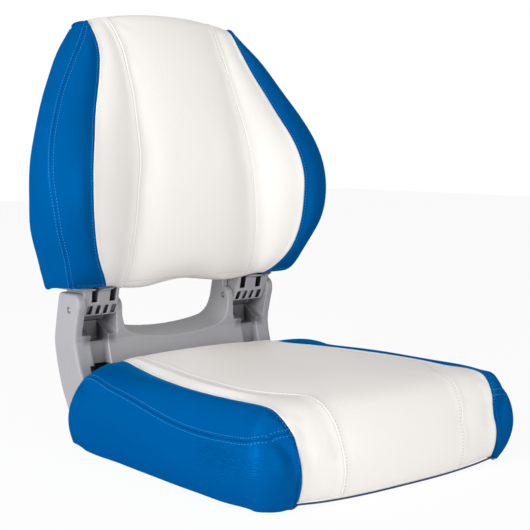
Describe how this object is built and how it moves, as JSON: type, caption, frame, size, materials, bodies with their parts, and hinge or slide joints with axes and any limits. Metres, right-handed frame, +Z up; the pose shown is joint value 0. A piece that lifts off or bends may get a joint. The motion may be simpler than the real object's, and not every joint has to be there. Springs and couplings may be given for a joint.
{
  "type": "folding boat seat",
  "caption": "Padded folding boat seat: vinyl seat and back cushions on moulded frames, joined by two hinge towers with a grab rail between them; flat underside for a pedestal.",
  "frame": {"origin": "centre of the pedestal bolt pattern, on the underside of the seat frame", "axes": "+Z up, the sitter faces -Y, and +X is to the right when the seat is seen from in front; the seat stands on Z = 0"},
  "size_m": [0.4896, 0.5398, 0.5866],
  "materials": {
    "plastic": "grey moulded polymer, satin",
    "white_vinyl": "white marine vinyl, fine grain, satin",
    "blue_vinyl": "saturated blue marine vinyl, fine grain, satin",
    "dark_binding": "dark blue woven binding",
    "foam": "open cell cushion foam",
    "board": "sealed plywood",
    "steel": "plain stainless steel",
    "brass": "plain brass"
  },
  "bodies": {
    "seat": {"seat_frame": "plastic", "seat_insert_1": "brass", "seat_insert_2": "brass", "seat_insert_3": "brass", "seat_insert_4": "brass", "seat_board": "board", "seat_screw_1": "steel", "seat_screw_2": "steel", "seat_screw_3": "steel", "seat_screw_4": "steel", "seat_foam": "foam", "seat_cover_centre": "white_vinyl", "seat_cover_strip_left": "white_vinyl", "seat_cover_strip_right": "white_vinyl", "seat_cover_bolster_left": "blue_vinyl", "seat_cover_bolster_right": "blue_vinyl", "seat_cover_side_left": "blue_vinyl", "seat_cover_side_right": "blue_vinyl", "seat_binding": "dark_binding", "hinge_pin_left": "steel", "hinge_pin_right": "steel"},
    "back": {"back_frame": "plastic", "back_board": "board", "back_foam": "foam", "back_cover_centre": "white_vinyl", "back_cover_strip_left": "white_vinyl", "back_cover_strip_right": "white_vinyl", "back_cover_bolster_left": "blue_vinyl", "back_cover_bolster_right": "blue_vinyl", "back_cover_side_left": "blue_vinyl", "back_cover_side_right": "blue_vinyl", "back_screw_1": "steel", "back_screw_2": "steel", "back_screw_3": "steel", "back_screw_4": "steel"}
  },
  "joints": [
    {"name": "back_fold", "type": "hinge", "parent": "seat", "child": "back", "pos_m": [0, 0.232, 0.1805], "axis": [1, 0, 0], "range_deg": [0, 80]}
  ]
}
